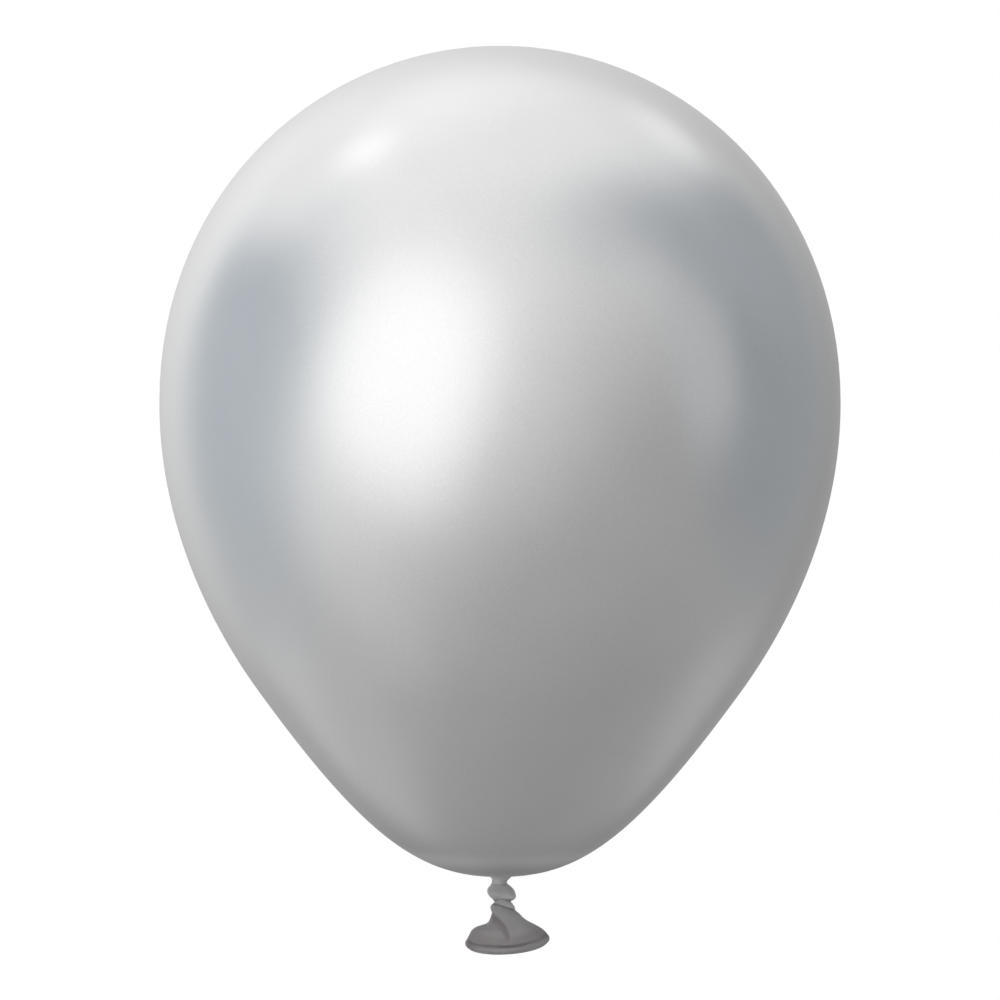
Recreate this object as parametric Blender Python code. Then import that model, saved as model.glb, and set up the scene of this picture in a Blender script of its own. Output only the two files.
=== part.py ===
"""Chrome-look latex party balloon, inflated and tied off, at its real size.

+Z is up and the front faces -Y. The origin is the middle of the neck, where a ribbon or clip
holds the balloon. The envelope stands above it, the knot and the loose tail hang below it.
Sizes are in millimetres up to the point where a mesh is made of them.
"""

import math

import bmesh
import bpy
from mathutils import Vector
from mathutils.geometry import interpolate_bezier

MM = 0.001  # metres

# Driving dimensions
WIDEST = 280.0  # across the inflated envelope, the usual fill of this size of balloon
CROWN = 344.2  # height of the envelope's top over the middle of the neck
FILM = 0.5  # stands for the stretched film, which is really about 0.02
SEAT = 0.3  # room left where one piece rests on the next
NECK_RADIUS = 3.1
CORE_RADIUS = 3.0  # of the gathered latex inside the knot
BORE_RADIUS = CORE_RADIUS + SEAT + 0.1  # of both knot turns, round the core, with room for facets
SKIRT_WALL = 0.7
ROLL_RADIUS = 1.2  # of the rolled edge round the mouth
SAME_POINT = 0.01  # points nearer than this are one

# How finely round shapes are cut
ENVELOPE_SIDES = 56
CORE_SIDES = 20
TURN_SIDES = 28
SKIRT_SIDES = 44
SHARPEST_SMOOTH = math.radians(40)  # edges that turn more than this stay sharp

# The envelope's outer side, from the crown down to the throat. Columns: radius and height, how
# far the curve's handles reach up and down from there, straight pieces to the next row
ENVELOPE_CURVE = (
    ("crown", (0.0, CROWN), (0.0, 0.0), (73.4, 0.0), 10),
    ("widest", (WIDEST / 2, 197.5), (0.0, 88.0), (0.0, -61.6), 10),
    ("flank", (97.5, 76.7), (10.0, 13.6), (-40.3, -55.3), 10),
    ("foot", (5.5, 2.3), (28.9, 1.8), (-1.5, -0.1), 4),
    ("throat", (NECK_RADIUS, 0.4), (0.0, 1.0), (0.0, 0.0), 0),
)

# The gathered latex that runs from the envelope down through the knot.
# Columns: height, sideways place of the centre, radius
CORE_SECTIONS = (
    ("plug_tip", 3.6, 0.0, 1.2),
    ("plug_top", 3.0, 0.0, 2.1),
    ("plug_foot", 0.1, 0.0, 2.3),
    ("shoulder", 0.1, 0.0, NECK_RADIUS),
    ("neck", -0.5, 0.0, NECK_RADIUS),
    ("in_wrap_top", -1.0, 0.2, CORE_RADIUS),
    ("in_wrap_foot", -7.6, 1.2, CORE_RADIUS),
    ("waist_top", -7.9, 1.3, 3.5),
    ("waist_foot", -8.2, 1.4, 3.5),
    ("in_tuck_top", -8.5, 1.4, CORE_RADIUS),
    ("tip", -11.8, 1.5, 2.8),
)

# The two turns of the overhand knot, each a soft ring round the core.
# Columns: name, top, foot, centre, outer radius, depth as a share of it, drop of the right side
KNOT_TURNS = (
    ("knot_wrap", -0.8, -7.5, 0.75, 5.95, 0.94, 0.85),
    ("knot_tuck", -8.6, -11.9, 1.25, 5.1, 0.92, 0.35),
)
# Outline of a turn, from its top edge round the outside to its foot.
# Columns: share of the way out from the bore, share of the way down
TURN_OUTLINE = (
    (0.00, 0.00),
    (0.42, 0.05),
    (0.80, 0.20),
    (1.00, 0.47),
    (0.90, 0.72),
    (0.52, 0.93),
    (0.00, 1.00),
)

# The flared skirt of the tail, outer side, from the knot down to the mouth.
# Columns: left x, left z, right x, right z, droop of the middle, half depth
SKIRT_SECTIONS = (
    ("gather", -3.2, -12.2, 6.9, -12.2, 0.0, 4.0),
    ("stem", -3.6, -14.0, 9.4, -13.9, 0.4, 4.4),
    ("hip", -4.8, -15.9, 12.5, -16.1, 1.0, 4.9),
    ("shoulder", -9.2, -18.0, 15.9, -18.0, 2.0, 5.6),
    ("side", -12.0, -20.6, 18.6, -20.2, 3.0, 6.2),
)
# The centre line of the rolled edge, in the same columns
MOUTH_ROLL = ("mouth", -13.1, -25.0, 19.1, -23.4, 3.3, 6.7)
SKIRT_MIDDLE = 2.5  # x of the line that the wall's thickness is measured towards
SKIRT_FLATNESS = 2.5  # the skirt is about this many times wider than deep
HOLLOW_TOP = ((0.62, -16.6), (0.30, -15.2))  # share of the hip's size, height

# Folds pressed into the skirt. Columns: side, top x, top z, foot x, foot z, width, depth
SKIRT_FOLDS = (
    ("front", -2.6, -13.0, 4.4, -25.0, 1.6, 1.3),
    ("front", 8.6, -15.0, 12.0, -20.5, 1.3, 0.4),
    ("back", 4.5, -13.0, -3.5, -24.0, 1.5, 0.9),
    ("back", 2.0, -13.0, 10.5, -23.0, 1.4, 0.7),
)
FOLD_FADE = 3.0  # a fold is full where the skirt is at least this far from its middle plane

# name: (colour, metallic, roughness)
FINISHES = {
    "chrome_latex": ((0.36, 0.36, 0.37, 1.0), 0.9, 0.30),
    "slack_latex": ((0.22, 0.20, 0.205, 1.0), 0.5, 0.42),
}


def clear_scene():
    for item in list(bpy.data.objects):
        bpy.data.objects.remove(item)


def finish(name):
    """The named finish as a material, made once."""
    material = bpy.data.materials.get(name)
    if material:
        return material
    colour, metallic, roughness = FINISHES[name]
    material = bpy.data.materials.new(name)
    material.use_nodes = True
    shader = material.node_tree.nodes["Principled BSDF"]
    shader.inputs["Base Color"].default_value = colour
    shader.inputs["Metallic"].default_value = metallic
    shader.inputs["Roughness"].default_value = roughness
    return material


def add_piece(name, bm, finish_name):
    """Makes the mesh in bm an object of that name, smooth, with its faces turned outwards."""
    bmesh.ops.recalc_face_normals(bm, faces=bm.faces)
    bmesh.ops.scale(bm, vec=(MM, MM, MM), verts=bm.verts)
    mesh = bpy.data.meshes.new(name)
    bm.to_mesh(mesh)
    bm.free()
    mesh.shade_smooth()
    mesh.set_sharp_from_angle(angle=SHARPEST_SMOOTH)
    mesh.materials.append(finish(finish_name))
    piece = bpy.data.objects.new(name, mesh)
    bpy.context.scene.collection.objects.link(piece)
    return piece


def skin(bm, rings, closed_round=False):
    """Faces from each ring of points to the next, with the ends capped or joined to each other."""
    rows = [[bm.verts.new(point) for point in ring] for ring in rings]
    pairs = list(zip(rows, rows[1:]))
    if closed_round:
        pairs.append((rows[-1], rows[0]))
    else:
        bm.faces.new(rows[0])
        bm.faces.new(rows[-1])
    for upper, lower in pairs:
        for k in range(len(upper)):
            after = (k + 1) % len(upper)
            bm.faces.new((upper[k], upper[after], lower[after], lower[k]))


def ring(centre_x, z, radius, sides):
    """A level circle of points round (centre_x, 0, z)."""
    turns = [2 * math.pi * k / sides for k in range(sides)]
    return [
        Vector((centre_x + radius * math.cos(a), radius * math.sin(a), z)) for a in turns
    ]


def envelope_outline():
    """The outer side as points (radius, 0, height), crown first."""
    points = []
    for (_, start, _, leave, pieces), (_, end, arrive, _, _) in zip(
        ENVELOPE_CURVE, ENVELOPE_CURVE[1:]
    ):
        start, end = Vector(start), Vector(end)
        run = interpolate_bezier(
            start, start + Vector(leave), end + Vector(arrive), end, pieces + 1
        )
        points += run[:-1]
    points.append(run[-1])
    return [Vector((radius, 0, height)) for radius, height in points]


def make_envelope():
    """The inflated film, hollow, open only at the throat that the neck fills."""
    bm = bmesh.new()
    outline = [bm.verts.new(point) for point in envelope_outline()]
    for above, below in zip(outline, outline[1:]):
        bm.edges.new((above, below))
    bmesh.ops.spin(
        bm,
        geom=bm.verts[:] + bm.edges[:],
        cent=(0, 0, 0),
        axis=(0, 0, 1),
        angle=2 * math.pi,
        steps=ENVELOPE_SIDES,
        use_merge=True,
    )
    bmesh.ops.remove_doubles(bm, verts=bm.verts, dist=SAME_POINT)
    envelope = add_piece("envelope", bm, "chrome_latex")
    film = envelope.modifiers.new("film", "SOLIDIFY")
    film.thickness = FILM * MM
    film.offset = -1
    film.use_even_offset = True


def make_neck_core():
    """The twisted bunch of latex: a plug in the throat, the neck, and the core of the knot."""
    bm = bmesh.new()
    skin(bm, [ring(x, z, radius, CORE_SIDES) for _, z, x, radius in CORE_SECTIONS])
    add_piece("neck_core", bm, "slack_latex")


def core_centre(z):
    """How far to the right the core's centre has moved at height z."""
    for (_, z0, x0, _), (_, z1, x1, _) in zip(CORE_SECTIONS, CORE_SECTIONS[1:]):
        if z0 >= z > z1:
            return x0 + (x1 - x0) * (z0 - z) / (z0 - z1)
    return CORE_SECTIONS[-1][2]


def make_knot_turn(name, top, foot, centre, outer, depth_share, drop):
    """One turn of the knot, a ring whose bore follows the core and whose bulge leans."""
    bm = bmesh.new()
    slices = []
    for k in range(TURN_SIDES):
        angle = 2 * math.pi * k / TURN_SIDES
        points = []
        for out, down in TURN_OUTLINE:
            z = top + (foot - top) * down - out * drop * math.cos(angle)
            bore_x = core_centre(z) + BORE_RADIUS * math.cos(angle)
            bore_y = BORE_RADIUS * math.sin(angle)
            rim_x = centre + outer * math.cos(angle)
            rim_y = outer * depth_share * math.sin(angle)
            points.append(
                Vector((bore_x + (rim_x - bore_x) * out, bore_y + (rim_y - bore_y) * out, z))
            )
        slices.append(points)
    skin(bm, slices, closed_round=True)
    add_piece(name, bm, "slack_latex")


def oval(section):
    """The points of a skirt section: its sides at their own heights, its middle drooping."""
    _, left_x, left_z, right_x, right_z, droop, half_depth = section
    found = []
    for k in range(SKIRT_SIDES):
        angle = 2 * math.pi * k / SKIRT_SIDES
        across = (1 + math.cos(angle)) / 2
        x = left_x + (right_x - left_x) * across
        z = left_z + (right_z - left_z) * across - droop * math.sin(angle) ** 2
        found.append(Vector((x, half_depth * math.sin(angle), z)))
    return found


def fold_in(point):
    """Moves a point of the skirt inwards, towards its middle plane, where a fold crosses it."""
    for side, top_x, top_z, foot_x, foot_z, width, depth in SKIRT_FOLDS:
        on_front = point.y < 0
        if on_front != (side == "front"):
            continue
        top = Vector((top_x, 0, top_z))
        along = Vector((foot_x, 0, foot_z)) - top
        flat = Vector((point.x, 0, point.z))
        share = min(1.0, max(0.0, (flat - top).dot(along) / along.length_squared))
        away = (flat - top - along * share).length / width
        push = depth * math.exp(-away * away) * min(1.0, abs(point.y) / FOLD_FADE)
        point = point + Vector((0, push if on_front else -push, 0))
    return point


def inward(point, distance):
    """The point moved level towards the skirt's long middle line."""
    flat = Vector((point.x - SKIRT_MIDDLE, point.y * SKIRT_FLATNESS, 0)).normalized()
    return point - flat * distance


def shrunk(points, share, height):
    """The points drawn in towards their middle, all at one height."""
    middle = sum(points, Vector()) / len(points)
    return [
        Vector((middle.x + (p.x - middle.x) * share, middle.y + (p.y - middle.y) * share, height))
        for p in points
    ]


def make_tail_skirt():
    """The flared tail below the knot: a thin skirt, closed above, open at the mouth."""
    side = oval(SKIRT_SECTIONS[-1])
    outside = [[fold_in(point) for point in oval(section)] for section in SKIRT_SECTIONS]
    edge = [
        centre + (above - centre).normalized() * (ROLL_RADIUS + SEAT)
        for centre, above in zip(oval(MOUTH_ROLL), side)
    ]
    rim = [[inward(p, shift) for p in edge] for shift in (-SKIRT_WALL / 2, SKIRT_WALL / 2)]
    hollow = [[inward(p, SKIRT_WALL) for p in section] for section in outside[:1:-1]]
    hip = hollow[-1]
    hollow += [shrunk(hip, share, height) for share, height in HOLLOW_TOP]
    bm = bmesh.new()
    skin(bm, outside + rim + hollow)
    add_piece("tail_skirt", bm, "slack_latex")


def make_mouth_roll():
    """The rolled bead round the mouth of the tail, a closed tube."""
    line = bpy.data.curves.new("mouth_roll", "CURVE")
    line.dimensions = "3D"
    spline = line.splines.new("POLY")
    spline.points.add(SKIRT_SIDES - 1)
    for place, point in zip(spline.points, oval(MOUTH_ROLL)):
        place.co = (*(point * MM), 1)
    spline.use_cyclic_u = True
    line.bevel_depth = ROLL_RADIUS * MM
    line.bevel_resolution = 2
    line.materials.append(finish("slack_latex"))
    roll = bpy.data.objects.new("mouth_roll", line)
    bpy.context.scene.collection.objects.link(roll)


clear_scene()
make_envelope()
make_neck_core()
for turn in KNOT_TURNS:
    make_knot_turn(*turn)
make_tail_skirt()
make_mouth_roll()
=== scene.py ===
"""A silver chrome-look latex party balloon, inflated and tied off.

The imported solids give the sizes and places. This script models the finished latex over them: the
stretched envelope, the neck gathered under it, the two turns of the knot, the loose tail and its
rolled edge. Lengths in tables are millimetres, angles are degrees, +Z is up, -Y is the front.
"""

import math

import bpy
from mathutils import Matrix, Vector, noise


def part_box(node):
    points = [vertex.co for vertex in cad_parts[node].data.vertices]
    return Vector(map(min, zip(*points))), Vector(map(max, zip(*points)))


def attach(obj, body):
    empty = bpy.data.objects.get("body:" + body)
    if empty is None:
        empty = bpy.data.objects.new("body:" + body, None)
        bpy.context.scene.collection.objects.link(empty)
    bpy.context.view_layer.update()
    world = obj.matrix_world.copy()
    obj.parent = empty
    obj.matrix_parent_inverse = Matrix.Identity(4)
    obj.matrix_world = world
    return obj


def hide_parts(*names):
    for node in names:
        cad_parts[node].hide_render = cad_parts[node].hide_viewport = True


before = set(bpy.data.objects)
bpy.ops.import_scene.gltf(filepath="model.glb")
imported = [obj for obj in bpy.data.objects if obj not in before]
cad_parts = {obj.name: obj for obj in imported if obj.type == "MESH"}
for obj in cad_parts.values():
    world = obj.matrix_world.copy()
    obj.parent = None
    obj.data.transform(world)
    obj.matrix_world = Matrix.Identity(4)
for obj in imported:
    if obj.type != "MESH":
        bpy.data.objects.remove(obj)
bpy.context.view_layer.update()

MM = 0.001
SAME_POINT = 0.01 * MM

# Sizes taken from the solids
ENVELOPE_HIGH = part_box("envelope")[1]
HALF_WIDTH = ENVELOPE_HIGH.x / MM
CROWN = ENVELOPE_HIGH.z / MM

# The envelope's outer side, from the crown down into the knot.
# Columns: name, radius and height, then how far the curve's handles reach up and down from there
ENVELOPE_CURVE = (
    ("crown", (0.0, CROWN), (-20.0, 0.0), (73.4, 0.0)),
    ("widest", (HALF_WIDTH, 197.5), (0.0, 88.0), (0.0, -61.6)),
    ("flank", (97.5, 76.7), (10.0, 13.6), (-40.3, -55.3)),
    ("foot", (5.6, 2.9), (29.4, 1.35), (-1.0, -0.2)),
    ("throat", (3.1, 0.3), (0.1, 1.2), (0.0, -0.3)),
    ("sleeve", (3.15, -0.8), (0.0, 0.3), (0.0, -0.2)),
)
FILM = 0.5
OUTLINE_STEPS = 32  # straight pieces in each stretch of the outline
ENVELOPE_TURNS = 176  # and round the envelope

# Where the film runs into the neck
PLEAT_COUNT = 23
PLEAT_DEPTH = 0.04
PLEAT_UNEVENNESS = 1.6  # how far a pleat strays from its even place, in radians
PLEAT_REACH = 9.0  # height above the throat at which the pleats have smoothed out
NECK_ASIDE = -0.25  # the throat's middle, left of the axis
FILLET_ASIDE = 0.5  # above it the film curves out of the neck more widely on the right

# The gathered neck, top to bottom. Columns: height, reach to the left, reach to the right
NECK_PROFILE = (
    (3.2, 1.6, 1.2),
    (2.0, 2.4, 2.0),
    (-0.5, 2.8, 2.3),
    (-3.0, 2.6, 3.4),
    (-6.5, 2.2, 4.2),
    (-8.0, 2.3, 4.5),
    (-9.5, 2.2, 4.4),
    (-11.7, 2.0, 4.4),
)
NECK_SIDES = 64
NECK_RINGS = 60
NECK_STRANDS = 7
STRAND_HEIGHT = 0.04  # as a share of the neck's radius
STRAND_TWIST = 0.12  # radians for each millimetre down the neck

# The two turns of the knot, top to bottom.
# Columns: reach and height on the left, reach and height on the right, rise in front and behind
BEAD_PROFILE = (
    (1.8, 0.9, 1.6, 0.9, 0.0),
    (2.6, 0.7, 2.2, 0.7, 0.0),
    (3.05, 0.25, 2.7, 0.2, 0.0),
    (3.5, -0.4, 3.05, -0.5, 0.0),
    (4.1, -1.25, 4.0, -1.3, 0.0),
    (4.9, -2.2, 5.0, -2.15, 0.0),
    (5.3, -3.3, 5.9, -3.3, 0.0),
    (5.2, -4.2, 6.4, -4.5, 0.0),
    (4.8, -5.1, 6.6, -5.4, 0.1),
    (4.05, -6.0, 6.45, -6.3, 0.4),
    (3.1, -6.85, 5.8, -7.0, 0.8),
    (2.6, -7.5, 4.8, -7.55, 1.1),
    (1.8, -8.0, 2.5, -8.0, 1.2),
)
COLLAR_PROFILE = (
    (1.4, -7.3, 2.0, -7.3, 1.1),
    (2.25, -7.6, 4.2, -7.6, 1.1),
    (2.45, -8.05, 4.55, -8.05, 1.0),
    (2.6, -8.5, 5.0, -8.6, 0.9),
    (2.75, -8.9, 5.55, -9.3, 0.7),
    (2.6, -9.3, 6.0, -10.0, 0.6),
    (2.2, -9.65, 6.2, -10.7, 0.5),
    (1.7, -9.9, 6.2, -11.3, 0.5),
    (1.2, -10.1, 5.5, -11.9, 0.5),
    (1.0, -10.2, 3.0, -12.1, 0.5),
)
KNOT_DEPTH = 0.93  # front to back, as a share of the width
TURN_SEGMENTS = (168, 72)  # round the neck and round the strand

# The plain ring that the knot's turns and the rolled edge start as
RING_RADIUS = 2.0
STRAND_RADIUS = 1.0

# Fine relief of the knot. Pleats: how many, and their height. Lines: slope, pitch and height
TOP_PLEATS = (13, 0.03)
FOOT_PLEATS = (11, 0.05)
BEAD_LINES = (0.5, 1.15, 0.02)
COLLAR_LINES = (1.2, 0.95, 0.015)

# The groove where the tail comes out from under the collar, lowest on the right
GROOVE_MIDDLE = -10.05
GROOVE_FALL = 1.25
GROOVE_RISE = 0.5  # in front and behind

# The tail, top to bottom. Columns: left edge x and z, right edge x and z, droop, half depth
TAIL_SECTIONS = (
    (-1.9, -8.3, 4.0, -10.4, -0.6, 3.3),
    (-2.6, -8.6, 5.2, -11.0, -0.6, 3.75),
    (-3.3, -9.05, 6.0, -11.4, -0.55, 4.1),
    (-3.8, -9.6, 6.5, -11.75, -0.5, 4.35),
    (-4.0, -10.3, 7.0, -12.1, -0.4, 4.5),
    (-3.85, -11.1, 7.55, -12.5, -0.2, 4.55),
    (-3.45, -11.95, 8.05, -13.0, 0.0, 4.6),
    (-3.3, -12.7, 8.7, -13.65, 0.2, 4.65),
    (-3.7, -13.7, 9.5, -14.5, 0.5, 4.75),
    (-4.1, -14.9, 10.5, -15.3, 0.8, 4.85),
    (-4.6, -16.0, 11.75, -16.1, 1.1, 5.0),
    (-5.55, -17.0, 13.45, -16.9, 1.4, 5.15),
    (-8.0, -17.65, 15.25, -17.8, 1.65, 5.35),
    (-10.15, -18.35, 16.75, -18.65, 1.9, 5.6),
    (-11.6, -19.4, 18.1, -19.65, 2.2, 5.9),
    (-12.4, -20.7, 19.2, -20.7, 2.55, 6.3),
    (-13.1, -22.1, 20.0, -21.85, 2.9, 6.65),
    (-13.65, -23.4, 20.25, -22.75, 3.2, 6.85),
    (-13.9, -24.3, 20.15, -23.4, 3.3, 6.9),
    (-13.8, -25.0, 19.95, -23.9, 3.3, 6.85),
    (-13.5, -25.9, 19.5, -24.7, 3.3, 6.8),
    (-13.1, -26.9, 19.0, -25.5, 3.3, 6.8),
)
TAIL_WALL = 0.4
TAIL_SIDES = 72  # before it is subdivided
SUBDIVISION = 2
TAIL_MIDDLE = 2.5  # to the right of the axis
TAIL_FLATNESS = 0.4  # creases push this share as far sideways as they do front to back
TAIL_PLEATS = (4.5, 0.12)  # how close they are round the tail, and their height

# Creases in the tail, top to bottom.
# Columns: side, depth, width at the top and at the foot, height of its right side's overlap, points
CREASES = (
    ("front", 0.75, 1.9, 0.9, 0.15,
     ((-3.3, -11.4), (-2.9, -12.8), (-0.8, -14.9), (1.4, -16.9),
      (3.0, -19.3), (3.9, -22.1), (4.4, -24.9))),
    ("back", 0.65, 1.5, 0.9, 0.20,
     ((2.0, -11.8), (1.4, -15.2), (-0.2, -19.0), (-2.6, -22.6), (-3.4, -24.8))),
    ("back", 0.40, 1.2, 0.8, 0.10,
     ((5.0, -13.2), (5.9, -15.8), (8.0, -19.2), (9.8, -22.0))),
)
CREASE_STEPS = 24  # straight pieces that stand for a crease's curve
CREASE_FADE = 2.2  # distance along a crease over which each end fades

# The hollow between the tail and its rolled edge, left to right: x and z
RIM_HOLLOW = (
    (-13.2, -21.9), (-12.0, -22.3), (-8.6, -23.6), (-5.4, -24.7), (-0.2, -25.5), (4.5, -25.4),
    (9.3, -24.5), (13.0, -23.0), (16.4, -21.5), (17.9, -21.1), (19.6, -20.9),
)
RIM_HOLLOW_DEPTH = 0.2
RIM_HOLLOW_WIDTHS = (1.6, 0.8)  # above and below its deepest line

# Painted shade on the tail's latex, as shares of the painted shade deep in a fold
HOLLOW_SHADE = 0.78
HOLLOW_SHADE_ABOVE = 4.6  # how far it fades out above the hollow's deepest line
HOLLOW_SHADE_BELOW = 0.7  # and below it, with twice that at the ends
LOBE_SHADE = 0.45  # on the tail's left half, just above the hollow
RIM_SHADE = 0.1
GROOVE_SHADE = 0.4  # under the collar
TAIL_TOP_SHADE = 0.15
LEFT_END_SHADE = 0.85

# The mouth's rolled edge: left x and z, right x and z of its middle line, droop, half depth
MOUTH = (-12.45, -25.25, 18.3, -23.4, 2.9, 6.45)
MOUTH_ROUNDNESS = 0.08  # nought lets the middle line drop straight from its ends
ROLL_RADIUS = 1.68
ROLL_SEGMENTS = (240, 56)  # round the mouth and round the roll
ROLL_UNEVENNESS = 0.06  # on its inner side, as a share of its radius
ROLL_FILLET = 0.7  # how softly the tail runs on to the rolled edge
ROLL_COVER = 0.1  # how far outside the rolled edge the tail lies there
SETTLE_BELOW = -18.0  # the height below which the tail can touch the rolled edge
TUCK_TURN = 1.7  # how far round the rolled edge the tail goes, in radians to a radius of its length
TUCK_DEPTH = 0.12  # how far in the tail's edge is pressed at its end
SEARCH_STEPS = 6  # rounds of the search for the closest place on the rolled edge
SEARCH_PACE = 0.6

# Where the camera stands, as in the photograph: level, in front, this far from the neck's axis
CAMERA_DISTANCE = 1500.0
CAMERA_HEIGHT = 157.8
VIEW_WIDTH = 412.7  # what the picture takes in across the balloon's middle
SENSOR = 36.0

# The latex's greys, from where it is still stretched to where it is slack and folded. The paler
# greys of the pinched neck, the bead's top and the knot's right side are painted light; the fold
# grey is painted shade
DRAWN_GREY = (0.32, 0.32, 0.32, 1)
NECK_PAINTED_LIGHT_GREY = (0.365, 0.365, 0.365, 1)
BEAD_PAINTED_LIGHT_GREY = (0.53, 0.53, 0.53, 1)
COLLAR_GREY = (0.305, 0.300, 0.301, 1)
TAIL_GREY = (0.259, 0.253, 0.254, 1)
FOLD_SHADE_GREY = (0.132, 0.112, 0.114, 1)
SPECK_GREY = (0.34, 0.34, 0.34, 1)
CLOUD_GREY = (0.10, 0.10, 0.10, 1)
RIGHT_PAINTED_LIGHT_GREY = (0.90, 0.90, 0.90, 1)
FILM_GREYS = ((0.538, 0.538, 0.541, 1), (0.560, 0.560, 0.561, 1))  # thicker and thinner film
FILM_SPECK = (0.70, 0.70, 0.70, 1)

# Heights between which the film changes on its way into the neck, in metres
SLACK_HEIGHTS = (0.023, -0.001)  # rougher and less metallic
DRAWN_HEIGHTS = (0.0135, 0.006)
# and where painted light makes the film paler at the neck
NECK_LIGHT_HEIGHTS = (0.0062, 0.0038)

# Roughness of the film and of the slack latex, each between its clouds' two ends
FILM_ROUGHNESS = (0.235, 0.265)
SLACK_ROUGHNESS = (0.50, 0.56)

FLOOR_DROP = 500.0  # from the neck down to the floor
FLOOR_RADIUS = 2600.0
FLOOR_GREY = (0.86, 0.86, 0.86, 1)
FLOOR_FADE = 0.4  # the share of its radius at which it starts to run out into white

# The studio as the film mirrors it. Azimuth is from the camera's side towards the right.
# Columns: azimuth, elevation, half width, half height, softness, squareness, tilt, brightness,
# blueness
ROOM = 0.54
STUDIO = {
    "ceiling": (0, 90, 65, 45, 0.75, 2.0, 0, 1.33, 0.0),
    "deep_floor": (0, -90, 32, 28, 0.8, 2.0, 0, 0.45, 0.0),
    "left_wall": (-68, -25, 88, 47, 0.9, 2.0, -12, 0.67, 0.0),
    "floor_glow": (-56, -51, 13, 12, 0.8, 2.0, 0, 0.76, 0.0),
    "back_left": (-120, 38, 47, 44, 0.95, 2.0, 0, 1.48, 0.0),
    "back_glow": (-142, 67, 22, 13, 0.9, 2.0, 0, 1.55, 0.0),
    "wide_glow": (-44, 19, 62, 46, 0.9, 2.0, 17, 1.46, 0.0),
    "back_floor": (175, -32, 25, 31, 0.65, 2.5, 10, 0.365, 0.0),
    "back_right": (152, -8, 16, 12, 0.7, 2.5, 0, 0.47, 0.0),
    "left_floor": (-109, -33, 23, 27, 0.4, 2.5, -14, 0.75, 0.0),
    "left_sill": (-126, -34, 13, 6, 0.6, 2.5, -20, 0.87, 0.0),
    "right_sill": (132, -33, 14, 7, 0.7, 2.5, 25, 0.66, 0.0),
    "left_flag": (-96, 6, 28, 34, 0.55, 3.0, -29, 0.80, 0.08),
    "left_flag_top": (-106, 18, 14, 8, 0.9, 3.0, 0, 0.82, 0.08),
    "left_shoulder": (-118, 43, 18, 10, 0.8, 2.0, 0, 1.41, 0.0),
    "right_flag": (102, 10, 30, 33, 0.28, 3.0, 0, 0.50, 0.06),
    "right_notch": (93, 37, 34, 13, 0.9, 2.5, -36, 0.61, 0.07),
    "right_strip": (72, 10, 12, 18, 0.5, 3.0, 12, 0.78, 0.02),
    "key": (-31, 8, 25, 30, 0.5, 2.5, -16, 1.80, 0.0),
    "lamp": (-110, 59, 6, 6, 0.7, 2.0, 0, 2.0, 0.0),
    "right_lamp": (136, 47, 8, 6, 0.8, 2.0, 0, 1.5, 0.0),
}


def blend(start, end, share):
    """Start where the share is 0, end where it is 1."""
    return start + (end - start) * share


def ease(low, high, value):
    """0 below low, 1 above high and smooth between them; low may be the larger one."""
    share = min(max((value - low) / (high - low), 0.0), 1.0)
    return share * share * (3.0 - 2.0 * share)


def hump(distance, width):
    """1 where the distance is 0, and close to 0 from twice the width on."""
    return math.exp(-(distance / width) ** 2)


def read_rows(rows, share):
    """A row between the rows of a table, on smooth curves through them; share runs from 0 to 1."""
    place = min(max(share, 0.0), 1.0) * (len(rows) - 1)
    index = min(int(place), len(rows) - 2)
    t = place - index
    before = rows[max(index - 1, 0)]
    start, end = rows[index], rows[index + 1]
    after = rows[min(index + 2, len(rows) - 1)]
    row = []
    for a, b, c, d in zip(before, start, end, after):
        square = 2 * a - 5 * b + 4 * c - d
        cube = 3 * b - a - 3 * c + d
        row.append(0.5 * (2 * b + (c - a) * t + square * t * t + cube * t ** 3))
    return tuple(row)


# Working with one piece at a time

def select_only(piece):
    bpy.ops.object.select_all(action="DESELECT")
    piece.select_set(True)
    bpy.context.view_layer.objects.active = piece


def start_piece(name):
    """Names the object that an operator has just added."""
    piece = bpy.context.object
    piece.name = name
    piece.data.name = name
    return piece


def edit_all(piece):
    select_only(piece)
    bpy.ops.object.mode_set(mode="EDIT")
    bpy.ops.mesh.select_all(action="SELECT")


def close_and_turn_out():
    """Merges doubles and turns the faces outwards, in edit mode, and leaves edit mode."""
    bpy.ops.mesh.select_all(action="SELECT")
    bpy.ops.mesh.remove_doubles(threshold=SAME_POINT)
    bpy.ops.mesh.normals_make_consistent(inside=False)
    bpy.ops.object.mode_set(mode="OBJECT")


def move_points(piece, place):
    """Moves every vertex to place(point, normal), in millimetres."""
    normals = [vertex.normal.copy() for vertex in piece.data.vertices]
    for vertex, normal in zip(piece.data.vertices, normals):
        vertex.co = place(vertex.co / MM, normal) * MM
    piece.data.update()


def mark_fold_shade(piece, shade_shares):
    """Keeps on each vertex how much shade is painted into the latex's colour there, from 0 to 1,
    deepest in folds.
    """
    fold_shades = piece.data.attributes.new("fold_shade", "FLOAT", "POINT")
    for entry, depth in zip(fold_shades.data, shade_shares):
        entry.value = min(max(depth, 0.0), 1.0)


def points_of(piece):
    return [vertex.co / MM for vertex in piece.data.vertices]


def apply_modifier(piece, kind, **settings):
    select_only(piece)
    modifier = piece.modifiers.new(kind.title(), kind)
    for name, value in settings.items():
        setattr(modifier, name, value)
    bpy.ops.object.modifier_apply(modifier=modifier.name)


def finish_piece(piece, node, material):
    select_only(piece)
    bpy.ops.object.transform_apply(location=True, rotation=True, scale=True)
    bpy.ops.object.shade_smooth()
    piece.data.materials.clear()
    piece.data.materials.append(material)
    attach(piece, "root")
    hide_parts(node)


# The envelope

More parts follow.
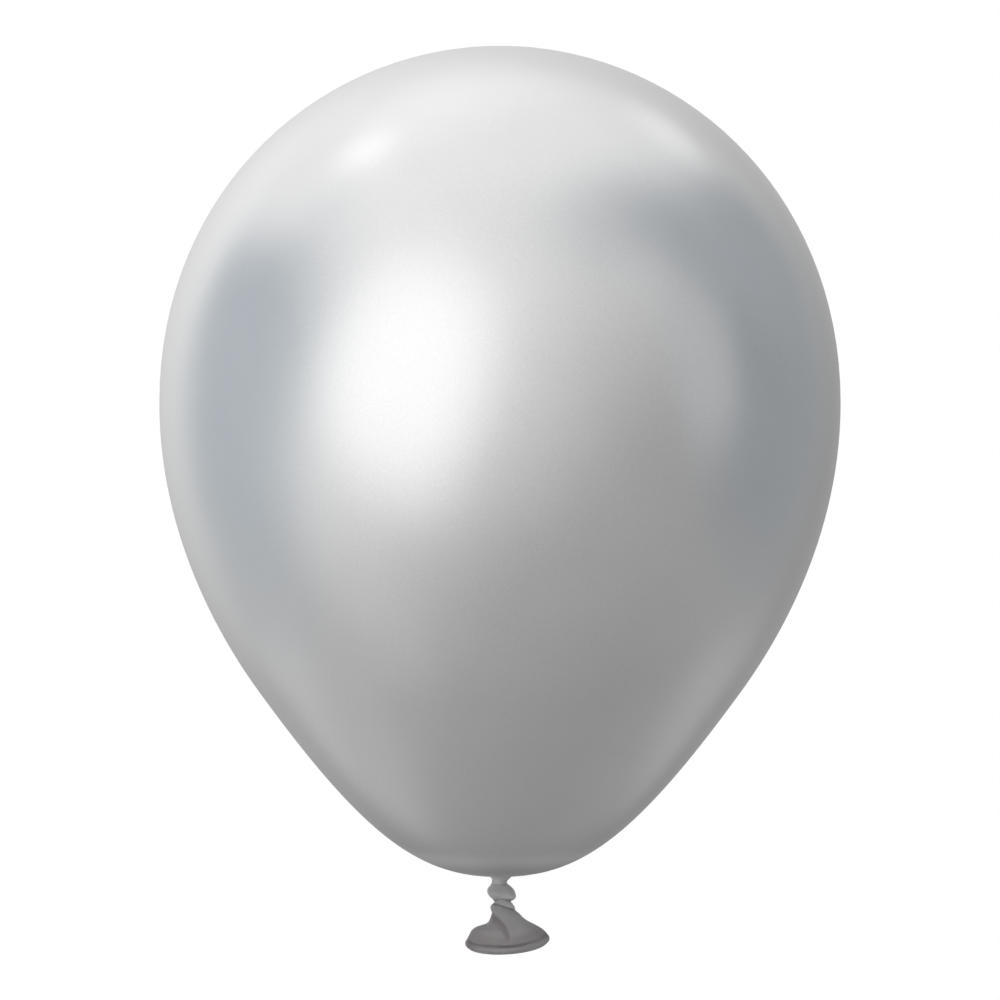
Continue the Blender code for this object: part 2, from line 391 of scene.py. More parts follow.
def add_envelope_outline():
    """Half of the envelope's outline, as a curve with its handles set, made into edges."""
    bpy.ops.object.select_all(action="DESELECT")
    bpy.ops.curve.primitive_bezier_curve_add(location=(0, 0, 0))
    outline = start_piece("envelope_skin")
    spline = outline.data.splines[0]
    spline.resolution_u = OUTLINE_STEPS
    spline.bezier_points.add(len(ENVELOPE_CURVE) - len(spline.bezier_points))
    for point, (_, place, up, down) in zip(spline.bezier_points, ENVELOPE_CURVE):
        point.handle_left_type = "FREE"
        point.handle_right_type = "FREE"
        point.co = Vector((place[0], 0, place[1])) * MM
        point.handle_left = point.co + Vector((up[0], 0, up[1])) * MM
        point.handle_right = point.co + Vector((down[0], 0, down[1])) * MM
    bpy.ops.object.convert(target="MESH")
    return bpy.context.object


def gather_at_neck(point, normal):
    """Pleats where the film is drawn together, and the slight lean of the neck."""
    angle = math.atan2(point.y, point.x)
    height = point.z
    near = ease(PLEAT_REACH, 1.0, height) * ease(-0.6, 1.2, height)
    stray = noise.noise(Vector((math.cos(angle), math.sin(angle), 0.05 * height)) * 2.0)
    ripple = math.sin(PLEAT_COUNT * angle + PLEAT_UNEVENNESS * stray)
    radius = math.hypot(point.x, point.y)
    depth = PLEAT_DEPTH * near * ease(45.0, 6.0, radius)
    fillet = ease(0.3, 1.6, height) * ease(9.0, 2.8, height) * ease(12.0, 4.5, radius)
    aside = NECK_ASIDE * ease(6.0, 2.0, height) + FILLET_ASIDE * fillet
    return point + normal * depth * ripple + Vector((aside, 0, 0))


def make_envelope(material):
    skin = add_envelope_outline()
    edit_all(skin)
    bpy.ops.mesh.spin(steps=ENVELOPE_TURNS, angle=math.tau, center=(0, 0, 0), axis=(0, 0, 1))
    close_and_turn_out()
    move_points(skin, gather_at_neck)
    apply_modifier(skin, "SOLIDIFY", thickness=FILM * MM, offset=-1.0, use_even_offset=True)
    finish_piece(skin, "envelope", material)


# The neck and the knot

def neck_place(point, normal):
    """Sets a point of a plain cylinder on the gathered neck, with its strands slightly twisted."""
    share = 0.5 - point.z / 2.0
    height, left, right = read_rows(NECK_PROFILE, share)
    angle = math.atan2(point.y, point.x)
    reach = math.hypot(point.x, point.y)
    strands = 1.0 + STRAND_HEIGHT * math.sin(NECK_STRANDS * (angle + STRAND_TWIST * height))
    across = 0.5 * (left + right) * reach * strands
    aside = 0.5 * (right - left) + across * math.cos(angle)
    return Vector((aside, across * KNOT_DEPTH * math.sin(angle), height))


def make_neck(material):
    bpy.ops.object.select_all(action="DESELECT")
    bpy.ops.mesh.primitive_cylinder_add(
        vertices=NECK_SIDES, radius=MM, depth=2 * MM, location=(0, 0, 0),
    )
    neck = start_piece("neck_gather")
    edit_all(neck)
    bpy.ops.mesh.select_all(action="DESELECT")
    bpy.ops.object.mode_set(mode="OBJECT")
    points = neck.data.vertices
    for edge in neck.data.edges:
        low, high = (points[index].co for index in edge.vertices)
        edge.select = abs(low.z - high.z) > MM
    bpy.ops.object.mode_set(mode="EDIT")
    bpy.ops.mesh.select_mode(type="EDGE")
    bpy.ops.mesh.subdivide(number_cuts=NECK_RINGS)
    bpy.ops.mesh.select_mode(type="VERT")
    close_and_turn_out()
    move_points(neck, neck_place)
    # Painted shade at half strength over the whole gathered neck
    mark_fold_shade(neck, [0.5] * len(neck.data.vertices))
    finish_piece(neck, "neck_core", material)


def add_ring(name, segments):
    """A plain ring round the neck, to be shaped point by point."""
    bpy.ops.object.select_all(action="DESELECT")
    bpy.ops.mesh.primitive_torus_add(
        major_segments=segments[0], minor_segments=segments[1],
        major_radius=RING_RADIUS * MM, minor_radius=STRAND_RADIUS * MM, location=(0, 0, 0),
    )
    ring = start_piece(name)
    edit_all(ring)
    close_and_turn_out()
    return ring


def ring_angles(point):
    """Where a point of the plain ring lies: the angle round the neck, and round the strand."""
    round_strand = math.atan2(point.z, math.hypot(point.x, point.y) - RING_RADIUS)
    return math.atan2(point.y, point.x), round_strand


def turn_place(profile):
    """Sets a point of the plain ring on one turn of the knot, by the angle round the strand."""
    def place(point, normal):
        angle, round_strand = ring_angles(point)
        right = 0.5 + 0.5 * math.cos(angle)
        if abs(round_strand) <= math.pi / 2:
            row = read_rows(profile, 0.5 - round_strand / math.pi)
        else:
            past = (abs(round_strand) - math.pi / 2) / (math.pi / 2)
            edge = profile[0] if round_strand > 0 else profile[-1]
            middle = [0.5 * (top + foot) for top, foot in zip(profile[0], profile[-1])]
            row = [blend(start, end, past) for start, end in zip(edge, middle)]
        left_reach, left_height, right_reach, right_height, rise = row
        half = 0.5 * (left_reach + right_reach)
        shift = 0.5 * (right_reach - left_reach)
        height = blend(left_height, right_height, right) + rise * math.sin(angle) ** 2
        return Vector((shift + half * math.cos(angle), half * KNOT_DEPTH * math.sin(angle), height))

    return place


def strand_lines(point, slope, pitch, depth):
    """Height of the fine lines that the stretched strand keeps, at a slope round the knot."""
    angle = math.atan2(point.y, point.x)
    level = point.z + slope * math.cos(angle)
    wander = noise.noise(Vector((math.cos(angle), math.sin(angle), 0.3 * level)) * 1.7)
    return depth * math.sin(math.tau * (level / pitch + 0.8 * wander))


def pleats_round(point, count, depth, wander):
    """Height of the pleats that run down the knot at a point."""
    angle = math.atan2(point.y, point.x)
    return depth * math.sin(count * angle + 2.0 * noise.noise(point * wander))


def make_bead(material):
    bead = add_ring("knot_bead", TURN_SEGMENTS)
    move_points(bead, turn_place(BEAD_PROFILE))

    def wrinkle(point, normal):
        top = pleats_round(point, *TOP_PLEATS, 0.3) * ease(-2.6, -0.4, point.z)
        foot = pleats_round(point, *FOOT_PLEATS, 0.4) * ease(-5.8, -7.2, point.z)
        lines = strand_lines(point, *BEAD_LINES) * ease(-0.5, -2.2, point.z)
        return point + normal * (top + foot + lines)

    move_points(bead, wrinkle)
    # Painted shade along the bead's lower edge, where it meets the collar
    mark_fold_shade(bead, [0.8 * ease(-6.4, -7.4, point.z) for point in points_of(bead)])
    finish_piece(bead, "knot_wrap", material)


def groove_distance(point):
    """How far a point lies above the groove between the collar and the tail."""
    angle = math.atan2(point.y, point.x - 1.5)
    groove = GROOVE_MIDDLE - GROOVE_FALL * math.cos(angle) + GROOVE_RISE * math.sin(angle) ** 2
    return point.z - groove


def make_collar(material):
    collar = add_ring("knot_collar", TURN_SEGMENTS)
    move_points(collar, turn_place(COLLAR_PROFILE))
    move_points(collar, lambda point, normal: point + normal * strand_lines(point, *COLLAR_LINES))
    # Painted shade along the groove where the tail comes out from under the collar
    mark_fold_shade(collar, [0.45 * hump(groove_distance(point), 0.6) for point in points_of(collar)])
    finish_piece(collar, "knot_tuck", material)


# The tail

def section_ring(section):
    """Middle x, level, half width and half depth of a tail section, in millimetres."""
    left_x, left_z, right_x, right_z, _, half_depth = section
    return 0.5 * (left_x + right_x), 0.5 * (left_z + right_z), 0.5 * (right_x - left_x), half_depth


def add_tail_tube():
    """A tube drawn down from a circle, ring by ring, and smoothed."""
    middle, level, half_width, half_depth = section_ring(TAIL_SECTIONS[0])
    bpy.ops.object.select_all(action="DESELECT")
    bpy.ops.mesh.primitive_circle_add(
        vertices=TAIL_SIDES, radius=half_depth * MM, fill_type="NOTHING", location=(0, 0, 0),
    )
    tube = start_piece("tail_fan")
    edit_all(tube)
    bpy.ops.transform.resize(value=(half_width / half_depth, 1, 1), center_override=(0, 0, 0))
    bpy.ops.transform.translate(value=(middle * MM, 0, level * MM))
    for section in TAIL_SECTIONS[1:]:
        next_middle, next_level, next_width, next_depth = section_ring(section)
        bpy.ops.mesh.extrude_region_move()
        step = ((next_middle - middle) * MM, 0, (next_level - level) * MM)
        bpy.ops.transform.translate(value=step)
        bpy.ops.transform.resize(
            value=(next_width / half_width, next_depth / half_depth, 1),
            center_override=(next_middle * MM, 0, next_level * MM),
        )
        middle, level, half_width, half_depth = next_middle, next_level, next_width, next_depth
    close_and_turn_out()
    apply_modifier(tube, "SUBSURF", levels=SUBDIVISION, render_levels=SUBDIVISION)
    return tube


def row_at(level):
    """The tail section at a level, read between the rows."""
    levels = [section_ring(section)[1] for section in TAIL_SECTIONS]
    for index, (upper, lower) in enumerate(zip(levels, levels[1:])):
        if level >= lower:
            share = min(max((upper - level) / (upper - lower), 0.0), 1.0)
            rows = zip(TAIL_SECTIONS[index], TAIL_SECTIONS[index + 1])
            return [blend(start, end, share) for start, end in rows]
    return TAIL_SECTIONS[-1]


def droop_share(out):
    """How far the mouth's edge hangs down, by how far in front of or behind its ends it lies."""
    return out * out * math.sqrt((1.0 + MOUTH_ROUNDNESS) / (out * out + MOUTH_ROUNDNESS))


def droop_place(point, normal):
    """Tilts a level ring of the tube to its section's edges and lets its middle hang lower."""
    left_x, left_z, right_x, right_z, droop, half_depth = row_at(point.z)
    slope = (right_z - left_z) / (right_x - left_x)
    aside = point.x - 0.5 * (left_x + right_x)
    out = min(abs(point.y) / half_depth, 1.0)
    return Vector((point.x, point.y, point.z + slope * aside - droop * droop_share(out)))


def smooth_path(points):
    return [read_rows(points, step / CREASE_STEPS) for step in range(CREASE_STEPS + 1)]


def place_by_path(path, x, z):
    """How far a point lies across a path, how far along it, and the path's length.

    Across is positive to the right of a path that runs down, and above one that runs to the right.
    """
    total = 0.0
    across, along = math.inf, 0.0
    for (x1, z1), (x2, z2) in zip(path, path[1:]):
        run_x, run_z = x2 - x1, z2 - z1
        length = math.hypot(run_x, run_z)
        held = min(max(((x - x1) * run_x + (z - z1) * run_z) / length, 0.0), length)
        gap = math.hypot(x - x1 - run_x / length * held, z - z1 - run_z / length * held)
        if gap < abs(across):
            across = math.copysign(gap, (z - z1) * run_x - (x - x1) * run_z)
            along = total + held
        total += length
    return across, along, total


def shade_at(point, across):
    """How much shade is painted on the latex, creases apart; across is the distance above the rim's
    hollow.
    """
    ends = ease(5.0, 16.0, abs(point.x - 3.0))
    reach = HOLLOW_SHADE_ABOVE if across > 0.0 else HOLLOW_SHADE_BELOW * (1.0 + ends)
    hollow = min(HOLLOW_SHADE, hump(across, reach))
    lobe = LOBE_SHADE * ease(-1.5, 0.0, across)
    lobe *= ease(-15.0, -19.0, point.z) * ease(16.0, 0.0, point.x)
    rim = RIM_SHADE * ease(0.0, -1.2, across)
    below_collar = groove_distance(point)
    groove = GROOVE_SHADE * hump(below_collar, 0.6)
    top = TAIL_TOP_SHADE * ease(-3.5, -1.5, below_collar)
    left_end = LEFT_END_SHADE * ease(-6.0, -13.0, point.x) * ease(-17.5, -20.0, point.z)
    return max(hollow, lobe, rim, groove, top, left_end)


def crease_shapes():
    """A function of a point of the tail: its outward move, and how much shade is painted on it."""
    creases = [row[:-1] + (smooth_path(row[-1]),) for row in CREASES]
    hollow = smooth_path(RIM_HOLLOW)

    def shape_at(point):
        move = 0.0
        fold_shade = 0.0
        for side, depth, top_width, foot_width, overlap, path in creases:
            if (point.y < 0) != (side == "front"):
                continue
            across, along, length = place_by_path(path, point.x, point.z)
            width = blend(top_width, foot_width, along / length)
            fade = ease(0.0, CREASE_FADE, along) * ease(length, length - CREASE_FADE, along)
            fade *= ease(0.0, 1.5, abs(point.y))
            lip = overlap * hump(across - 1.2 * width, 1.4 * width)
            middle = across + 0.2 * width
            valley = hump(middle, (0.6 if middle > 0.0 else 1.5) * width)
            move += (lip - depth * valley) * fade
            # Painted shade in the crease's valley, fading out at the crease's ends
            fold_shade = max(fold_shade, hump(middle, (0.6 if middle > 0.0 else 2.2) * width) * fade)
        across = place_by_path(hollow, point.x, point.z)[0]
        above, below = RIM_HOLLOW_WIDTHS
        rim = hump(across, above if across > 0.0 else below)
        return move - RIM_HOLLOW_DEPTH * rim, max(fold_shade, shade_at(point, across))

    return shape_at


def make_tail(material):
    tail = add_tail_tube()
    move_points(tail, droop_place)
    shape_at = crease_shapes()
    fold_shades = [shape_at(point)[1] for point in points_of(tail)]
    closeness, depth = TAIL_PLEATS

    def fold_place(point, normal):
        out = Vector((normal.x * TAIL_FLATNESS, normal.y, 0.0))
        angle = math.atan2(point.y / TAIL_FLATNESS, point.x - TAIL_MIDDLE)
        around = Vector((closeness * math.cos(angle), closeness * math.sin(angle), 0.06 * point.z))
        pleats = depth * noise.noise(around) * ease(-26.0, -15.0, point.z)
        return point + out * shape_at(point)[0] + normal * pleats

    move_points(tail, fold_place)
    move_points(tail, settle_on_roll)
    mark_fold_shade(tail, fold_shades)
    apply_modifier(tail, "SOLIDIFY", thickness=TAIL_WALL * MM, offset=-1.0, use_even_offset=False)
    finish_piece(tail, "tail_skirt", material)


def mouth_frame(angle):
    """A point on the middle line of the rolled edge, and the ways out, up and along from there."""
    def middle(at):
        left_x, left_z, right_x, right_z, droop, half_depth = MOUTH
        right = 0.5 + 0.5 * math.cos(at)
        height = blend(left_z, right_z, right) - droop * droop_share(math.sin(at))
        return Vector((blend(left_x, right_x, right), half_depth * math.sin(at), height))

    along = (middle(angle + 0.01) - middle(angle - 0.01)).normalized()
    out = along.cross(Vector((0, 0, 1))).normalized()
    return middle(angle), out, out.cross(along), along


def closest_mouth_frame(point):
    """The frame where the rolled edge's middle line passes closest to a point."""
    left_x, _, right_x, _, _, half_depth = MOUTH
    half_width = 0.5 * (right_x - left_x)
    angle = math.atan2(point.y / half_depth, (point.x - 0.5 * (left_x + right_x)) / half_width)
    for _ in range(SEARCH_STEPS):
        middle, _, _, along = mouth_frame(angle)
        pace = math.hypot(half_width * math.sin(angle), half_depth * math.cos(angle))
        angle += SEARCH_PACE * (point - middle).dot(along) / pace
    return mouth_frame(angle)


def settle_on_roll(point, normal):
    """Lets the tail's lower edge run on to the rolled edge and end just inside it."""
    if point.z > SETTLE_BELOW:
        return point
    middle, out, up, _ = closest_mouth_frame(point)
    height = (point - middle).dot(up)
    reach = (point - middle).dot(out)
    if height > ROLL_RADIUS:
        round_roll = 3.0 * (ROLL_RADIUS - height)
    else:
        round_roll = math.sqrt(ROLL_RADIUS ** 2 - max(height, 0.0) ** 2)
    round_roll += ROLL_COVER
    fillet = ROLL_FILLET * ease(1.8 * ROLL_RADIUS, ROLL_RADIUS, height)
    settled = 0.5 * (reach + round_roll + math.hypot(reach - round_roll, fillet))
    if height > 0.0:
        return point + out * (settled - reach)
    turn = TUCK_TURN * height / ROLL_RADIUS
    radius = blend(settled, round_roll, ease(0.0, -1.0, turn))
    radius -= TUCK_DEPTH * ease(-1.2, -1.6, turn)
    return middle + (out * math.cos(turn) + up * math.sin(turn)) * radius


def roll_place(point, normal):
    """Sets a point of the plain ring on the rolled edge, which is a little uneven inside."""
    angle, round_roll = ring_angles(point)
    middle, out, up, _ = mouth_frame(angle)
    uneven = noise.noise(Vector((3 * math.cos(angle), 3 * math.sin(angle), 4.0)))
    uneven *= ROLL_UNEVENNESS * ease(0.0, -0.7, math.cos(round_roll))
    radius = ROLL_RADIUS * (1.0 + uneven)
    return middle + (out * math.cos(round_roll) + up * math.sin(round_roll)) * radius


def make_roll(material):
    roll = add_ring("rolled_rim", ROLL_SEGMENTS)
    move_points(roll, roll_place)
    mark_fold_shade(roll, [0.0] * len(roll.data.vertices))
    finish_piece(roll, "mouth_roll", material)


# Finishes

def add_node(tree, kind, inputs=None, **settings):
    """Adds a node to the right of the last one. An input is a constant or another node's socket."""
    added = tree.nodes.new(kind)
    added.location.x = 200 * len(tree.nodes)
    for name, value in settings.items():
        setattr(added, name, value)
    for name, value in (inputs or {}).items():
        if isinstance(value, bpy.types.NodeSocket):
            tree.links.new(value, added.inputs[name])
        else:
            added.inputs[name].default_value = value
    return added


def add_math(tree, operation, first, second=0.0):
    return add_node(tree, "ShaderNodeMath", {0: first, 1: second}, operation=operation).outputs[0]


def new_group(name, inputs, outputs):
    """A node group with named inputs, given as kind and value, and named outputs."""
    tree = bpy.data.node_groups.new(name, "ShaderNodeTree")
    for socket_name, (kind, value) in inputs.items():
        socket = tree.interface.new_socket(socket_name, in_out="INPUT", socket_type=kind)
        socket.default_value = value
    for socket_name, kind in outputs.items():
        tree.interface.new_socket(socket_name, in_out="OUTPUT", socket_type=kind)
    start = tree.nodes.new("NodeGroupInput")
    end = tree.nodes.new("NodeGroupOutput")
    return tree, start.outputs, end.inputs


def make_pigment_group():
    """Metallic pigment in latex: fine specks, and slow clouds where the film is thicker."""
    tree, given, result = new_group(
        "pigment_grain",
        {
            "Speck Size": ("NodeSocketFloat", 0.0004),
            "Cloud Size": ("NodeSocketFloat", 0.04),
        },
        {"Specks": "NodeSocketFloat", "Clouds": "NodeSocketFloat"},
    )
    place = add_node(tree, "ShaderNodeTexCoord").outputs["Object"]
    for kind, detail in (("Speck", 2.0), ("Cloud", 3.0)):
        scale = add_math(tree, "DIVIDE", 1.0, given[kind + " Size"])
        grain = add_node(
            tree, "ShaderNodeTexNoise", {"Vector": place, "Scale": scale, "Detail": detail},
        )
        tree.links.new(grain.outputs["Fac"], result[kind + "s"])
    return tree


def make_wrinkle_group():
    """Fine wrinkles drawn out along one direction, as a height from 0 to 1."""
    tree, given, result = new_group(
        "drawn_wrinkles",
        {"Pull": ("NodeSocketVector", (1.0, 1.0, 1.0))},
        {"Height": "NodeSocketFloat"},
    )
    place = add_node(tree, "ShaderNodeTexCoord").outputs["Object"]
    drawn = add_node(tree, "ShaderNodeMapping", {"Vector": place, "Scale": given["Pull"]})
    waves = add_node(
        tree, "ShaderNodeTexNoise",
        {
            "Vector": drawn.outputs[0], "Scale": 1.0, "Detail": 3.0,
            "Roughness": 0.45, "Distortion": 0.4,
        },
    )
    tree.links.new(waves.outputs["Fac"], result["Height"])
    return tree


def new_material(name):
    material = bpy.data.materials.new(name)
    material.use_nodes = True
    tree = material.node_tree
    return material, tree, tree.nodes["Principled BSDF"]


def mix_colours(tree, share, start, end):
    mixed = add_node(tree, "ShaderNodeMix", {0: share, 6: start, 7: end}, data_type="RGBA")
    return mixed.outputs[2]


def ramp_value(tree, value, low, high, at_low, at_high):
    ramp = add_node(
        tree, "ShaderNodeMapRange",
        {0: value, 1: low, 2: high, 3: at_low, 4: at_high},
        interpolation_type="SMOOTHSTEP",
    )
    return ramp.outputs[0]


def make_chrome_latex(pigment):
    """Stretched film: bright satin metal, greyer and rougher where it is drawn in at the neck, and
    made a little paler by painted light where it is pinched into the neck.
    """
    material, tree, shader = new_material("chrome_latex_stretched")
    grain = add_node(tree, "ShaderNodeGroup", node_tree=pigment)
    grain.inputs["Speck Size"].default_value = 0.0005
    grain.inputs["Cloud Size"].default_value = 0.055
    place = add_node(tree, "ShaderNodeTexCoord").outputs["Object"]
    height = add_node(tree, "ShaderNodeSeparateXYZ", {0: place}).outputs["Z"]
    slack = ramp_value(tree, height, *SLACK_HEIGHTS, 0.0, 1.0)
    drawn_in = ramp_value(tree, height, *DRAWN_HEIGHTS, 0.0, 1.0)

    clouds = ramp_value(tree, grain.outputs["Clouds"], 0.3, 0.7, 0.0, 1.0)
    film = mix_colours(tree, clouds, *FILM_GREYS)
    specks = ramp_value(tree, grain.outputs["Specks"], 0.35, 0.75, 0.0, 0.22)
    film = mix_colours(tree, specks, film, FILM_SPECK)
    film = mix_colours(tree, drawn_in, film, DRAWN_GREY)
    # Painted light: the film is paler where it is pinched into the neck, which the envelope shades
    neck_light = ramp_value(tree, height, *NECK_LIGHT_HEIGHTS, 0.0, 1.0)
    film = mix_colours(tree, neck_light, film, NECK_PAINTED_LIGHT_GREY)
    tree.links.new(film, shader.inputs["Base Color"])

    rough = ramp_value(tree, grain.outputs["Clouds"], 0.3, 0.7, *FILM_ROUGHNESS)
    rough = add_math(tree, "ADD", rough, add_math(tree, "MULTIPLY", slack, 0.30))
    tree.links.new(rough, shader.inputs["Roughness"])
    tree.links.new(ramp_value(tree, slack, 0.0, 1.0, 1.0, 0.15), shader.inputs["Metallic"])
    shader.inputs["Specular Tint"].default_value = (0.93, 0.93, 0.93, 1)

    bump = add_node(
        tree, "ShaderNodeBump",
        {"Strength": 0.25, "Distance": 0.00002, "Height": grain.outputs["Specks"]},
    )
    tree.links.new(bump.outputs[0], shader.inputs["Normal"])
    return material


def make_slack_latex(pigment, wrinkles, name, pull, grey, gloss, fade):
    """Unstretched latex of the knot and tail: thick and satin, with painted shade, darker and
    warmer, in its folds, and painted light on the bead's top and the knot's right side.

    pull is how many wrinkles there are to a metre along each axis, gloss the share of metallic
    shine that is left, and fade how far painted light makes the latex paler on the right.
    """
    material, tree, shader = new_material(name)
    grain = add_node(tree, "ShaderNodeGroup", node_tree=pigment)
    grain.inputs["Speck Size"].default_value = 0.00025
    grain.inputs["Cloud Size"].default_value = 0.005
    creases = add_node(tree, "ShaderNodeGroup", node_tree=wrinkles)
    creases.inputs["Pull"].default_value = pull
    fold_shade = add_node(tree, "ShaderNodeAttribute", attribute_name="fold_shade").outputs["Fac"]
    place = add_node(tree, "ShaderNodeTexCoord").outputs["Object"]
    axes = add_node(tree, "ShaderNodeSeparateXYZ", {0: place}).outputs

    clouds = ramp_value(tree, grain.outputs["Clouds"], 0.3, 0.7, 0.0, 1.0)
    # Painted light: the knot's latex is paler towards the bead's top, where the envelope above
    # shades it
    bead_light_share = ramp_value(tree, axes["Z"], -0.0038, 0.0006, 0.0, 1.0)
    latex = mix_colours(tree, bead_light_share, grey, BEAD_PAINTED_LIGHT_GREY)
    # Painted light: paler latex on the right, where the studio gives the knot less light
    right_light_share = ramp_value(tree, axes["X"], -0.004, 0.006, 0.0, fade)
    latex = mix_colours(tree, right_light_share, latex, RIGHT_PAINTED_LIGHT_GREY)
    latex = mix_colours(tree, add_math(tree, "MULTIPLY", clouds, 0.08), latex, CLOUD_GREY)
    specks = ramp_value(tree, grain.outputs["Specks"], 0.45, 0.8, 0.0, 0.25)
    latex = mix_colours(tree, specks, latex, SPECK_GREY)
    # Painted shade: the latex is mixed towards a warm dark grey by the fold attribute, in folds,
    # hollows and grooves
    latex = mix_colours(tree, fold_shade, latex, FOLD_SHADE_GREY)
    tree.links.new(latex, shader.inputs["Base Color"])

    rough = ramp_value(tree, grain.outputs["Clouds"], 0.3, 0.7, *SLACK_ROUGHNESS)
    tree.links.new(rough, shader.inputs["Roughness"])
    metal = ramp_value(tree, fold_shade, 0.0, 1.0, 0.12 * gloss, 0.05 * gloss)
    tree.links.new(metal, shader.inputs["Metallic"])
    shader.inputs["Specular IOR Level"].default_value = 0.5 * gloss
    shader.inputs["Subsurface Weight"].default_value = 1.0
    shader.inputs["Subsurface Radius"].default_value = (1.0, 1.0, 1.0)
    shader.inputs["Subsurface Scale"].default_value = 0.004

    fine_relief = add_math(tree, "MULTIPLY", grain.outputs["Specks"], 0.25)
    relief = add_math(tree, "ADD", fine_relief, creases.outputs["Height"])
    bump = add_node(
        tree, "ShaderNodeBump", {"Strength": 0.4, "Distance": 0.00008, "Height": relief},
    )
    tree.links.new(bump.outputs[0], shader.inputs["Normal"])
    return material


# The studio

def make_panel_group():
    """One soft panel of light or shade, seen in a direction, laid over what is behind it."""
    tree, given, result = new_group(
        "soft_panel",
        {
            "Direction": ("NodeSocketVector", (0.0, 0.0, 0.0)),
            "Behind": ("NodeSocketColor", (0.5, 0.5, 0.5, 1.0)),
            "Colour": ("NodeSocketColor", (1.0, 1.0, 1.0, 1.0)),
            "Turn": ("NodeSocketVector", (0.0, 0.0, 0.0)),
            "Half Width": ("NodeSocketFloat", 0.5),
            "Half Height": ("NodeSocketFloat", 0.5),
            "Softness": ("NodeSocketFloat", 0.5),
            "Squareness": ("NodeSocketFloat", 2.0),
        },
        {"Colour": "NodeSocketColor"},
    )
    faced = add_node(
        tree, "ShaderNodeMapping",
        {"Vector": given["Direction"], "Rotation": given["Turn"]}, vector_type="TEXTURE",
    )
    axes = add_node(tree, "ShaderNodeSeparateXYZ", {0: faced.outputs[0]}).outputs
    sideways = add_math(tree, "ARCTAN2", axes["Y"], axes["X"])
    upwards = add_math(tree, "ARCSINE", axes["Z"])
    powers = []
    for angle, half in ((sideways, given["Half Width"]), (upwards, given["Half Height"])):
        share = add_math(tree, "ABSOLUTE", add_math(tree, "DIVIDE", angle, half))
        powers.append(add_math(tree, "POWER", share, given["Squareness"]))
    total = add_math(tree, "ADD", *powers)
    distance = add_math(tree, "POWER", total, add_math(tree, "DIVIDE", 1.0, given["Squareness"]))
    outer = add_math(tree, "ADD", 1.0, given["Softness"])
    inner = add_math(tree, "SUBTRACT", 1.0, given["Softness"])
    mask = ramp_value(tree, distance, outer, inner, 0.0, 1.0)
    tree.links.new(mix_colours(tree, mask, given["Behind"], given["Colour"]), result["Colour"])
    return tree


def make_studio():
    """The studio's soft panels as light and reflections; the camera itself sees plain white."""
    world = bpy.data.worlds.new("soft_studio")
    bpy.context.scene.world = world
    world.use_nodes = True
    tree = world.node_tree
    tree.nodes.clear()
    direction = add_node(tree, "ShaderNodeTexCoord").outputs["Generated"]
    colour = add_node(tree, "ShaderNodeRGB").outputs[0]
    colour.default_value = (ROOM, ROOM, ROOM, 1)
    panel_group = make_panel_group()
    for name, row in STUDIO.items():
        azimuth, elevation, half_width, half_height, softness, squareness, tilt, bright, blue = row
        panel = add_node(tree, "ShaderNodeGroup", node_tree=panel_group, label=name)
        turn = [math.radians(angle) for angle in (tilt, -elevation, azimuth - 90)]
        tree.links.new(direction, panel.inputs["Direction"])
        tree.links.new(colour, panel.inputs["Behind"])
        tinted = (bright * (1 - blue), bright, bright * (1 + 0.8 * blue), 1)
        panel.inputs["Colour"].default_value = tinted
        panel.inputs["Turn"].default_value = turn
        panel.inputs["Half Width"].default_value = math.radians(half_width)
        panel.inputs["Half Height"].default_value = math.radians(half_height)
        panel.inputs["Softness"].default_value = softness
        panel.inputs["Squareness"].default_value = squareness
        colour = panel.outputs["Colour"]
    studio = add_node(tree, "ShaderNodeBackground", {"Color": colour}).outputs[0]
    white = add_node(tree, "ShaderNodeBackground", {"Color": (1, 1, 1, 1)}).outputs[0]
    seen = add_node(tree, "ShaderNodeLightPath").outputs["Is Camera Ray"]
    shown = add_node(tree, "ShaderNodeMixShader", {0: seen, 1: studio, 2: white}).outputs[0]
    add_node(tree, "ShaderNodeOutputWorld", {"Surface": shown})


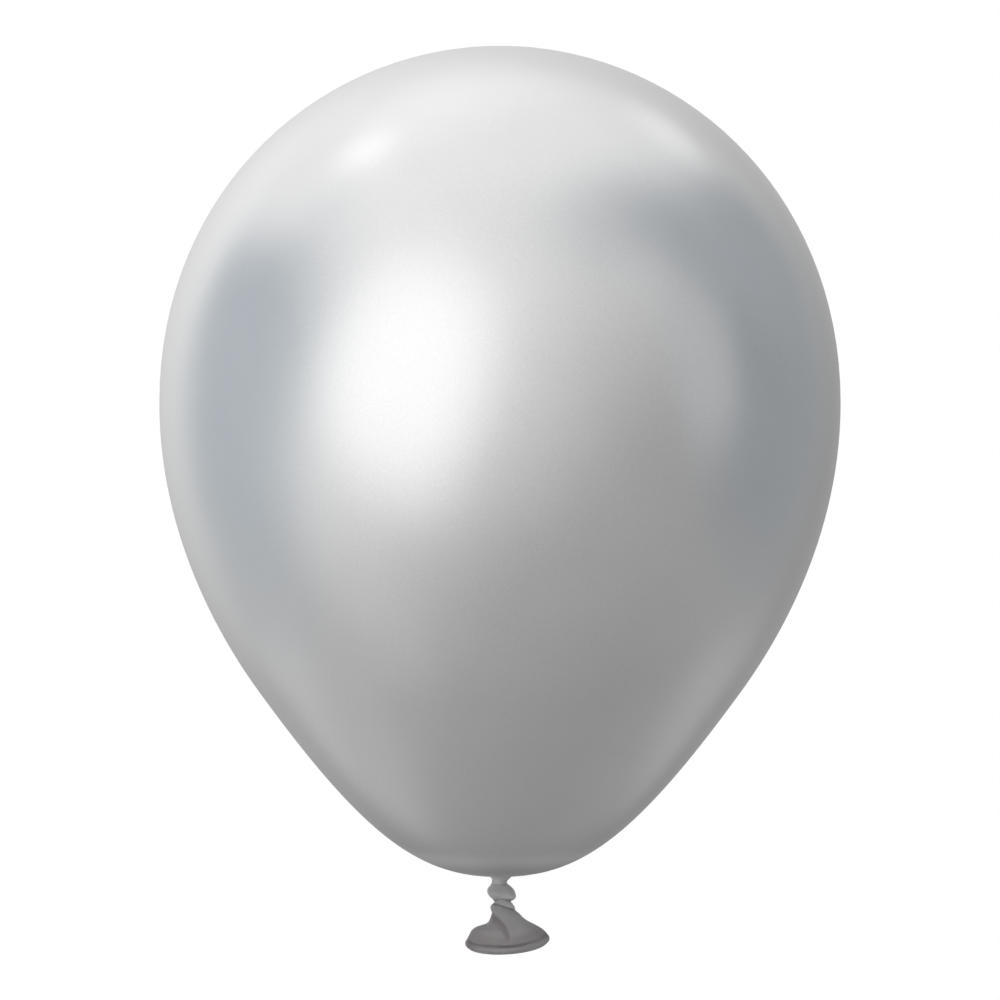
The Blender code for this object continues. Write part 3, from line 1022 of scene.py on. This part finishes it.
def make_floor():
    """A pale floor well below the balloon, which runs out into white and is clear from below."""
    bpy.ops.object.select_all(action="DESELECT")
    bpy.ops.mesh.primitive_circle_add(
        vertices=96, radius=FLOOR_RADIUS * MM, fill_type="NGON", location=(0, 0, -FLOOR_DROP * MM),
    )
    floor = start_piece("studio_floor")
    material, tree, shader = new_material("pale_floor")
    place = add_node(tree, "ShaderNodeTexCoord").outputs["Object"]
    level = add_node(tree, "ShaderNodeVectorMath", {0: place, 1: (1, 1, 0)}, operation="MULTIPLY")
    reach = add_node(tree, "ShaderNodeVectorMath", {0: level.outputs[0]}, operation="LENGTH")
    edge = FLOOR_RADIUS * MM
    rim = ramp_value(tree, reach.outputs["Value"], FLOOR_FADE * edge, edge, 0.0, 1.0)
    shader.inputs["Base Color"].default_value = FLOOR_GREY
    shader.inputs["Roughness"].default_value = 0.9
    shader.inputs["Specular IOR Level"].default_value = 0.0
    white = add_node(tree, "ShaderNodeEmission", {"Color": (1, 1, 1, 1)}).outputs[0]
    blended = add_node(tree, "ShaderNodeMixShader", {0: rim, 1: shader.outputs[0], 2: white})
    from_below = add_node(tree, "ShaderNodeNewGeometry").outputs["Backfacing"]
    clear = add_node(tree, "ShaderNodeBsdfTransparent").outputs[0]
    shown = add_node(
        tree, "ShaderNodeMixShader", {0: from_below, 1: blended.outputs[0], 2: clear},
    )
    tree.links.new(shown.outputs[0], tree.nodes["Material Output"].inputs["Surface"])
    floor.data.materials.append(material)
    floor.visible_glossy = False
    floor.visible_diffuse = False


def make_camera():
    data = bpy.data.cameras.new("front_camera")
    data.sensor_width = SENSOR
    data.lens = SENSOR * CAMERA_DISTANCE / VIEW_WIDTH
    camera = bpy.data.objects.new("front_camera", data)
    camera.location = Vector((0, -CAMERA_DISTANCE, CAMERA_HEIGHT)) * MM
    camera.rotation_euler = (math.radians(90), 0, 0)
    bpy.context.scene.collection.objects.link(camera)
    bpy.context.scene.camera = camera


def main():
    bpy.context.scene.view_settings.view_transform = "Standard"
    make_camera()
    make_studio()
    make_floor()

    pigment = make_pigment_group()
    wrinkles = make_wrinkle_group()
    chrome = make_chrome_latex(pigment)
    knot_latex = make_slack_latex(
        pigment, wrinkles, "slack_latex_knot",
        pull=(500, 500, 1600), grey=COLLAR_GREY, gloss=0.4, fade=0.17,
    )
    tail_latex = make_slack_latex(
        pigment, wrinkles, "slack_latex_tail",
        pull=(900, 900, 220), grey=TAIL_GREY, gloss=1.0, fade=0.0,
    )

    make_envelope(chrome)
    make_neck(knot_latex)
    make_bead(knot_latex)
    make_collar(knot_latex)
    make_tail(tail_latex)
    make_roll(tail_latex)


main()
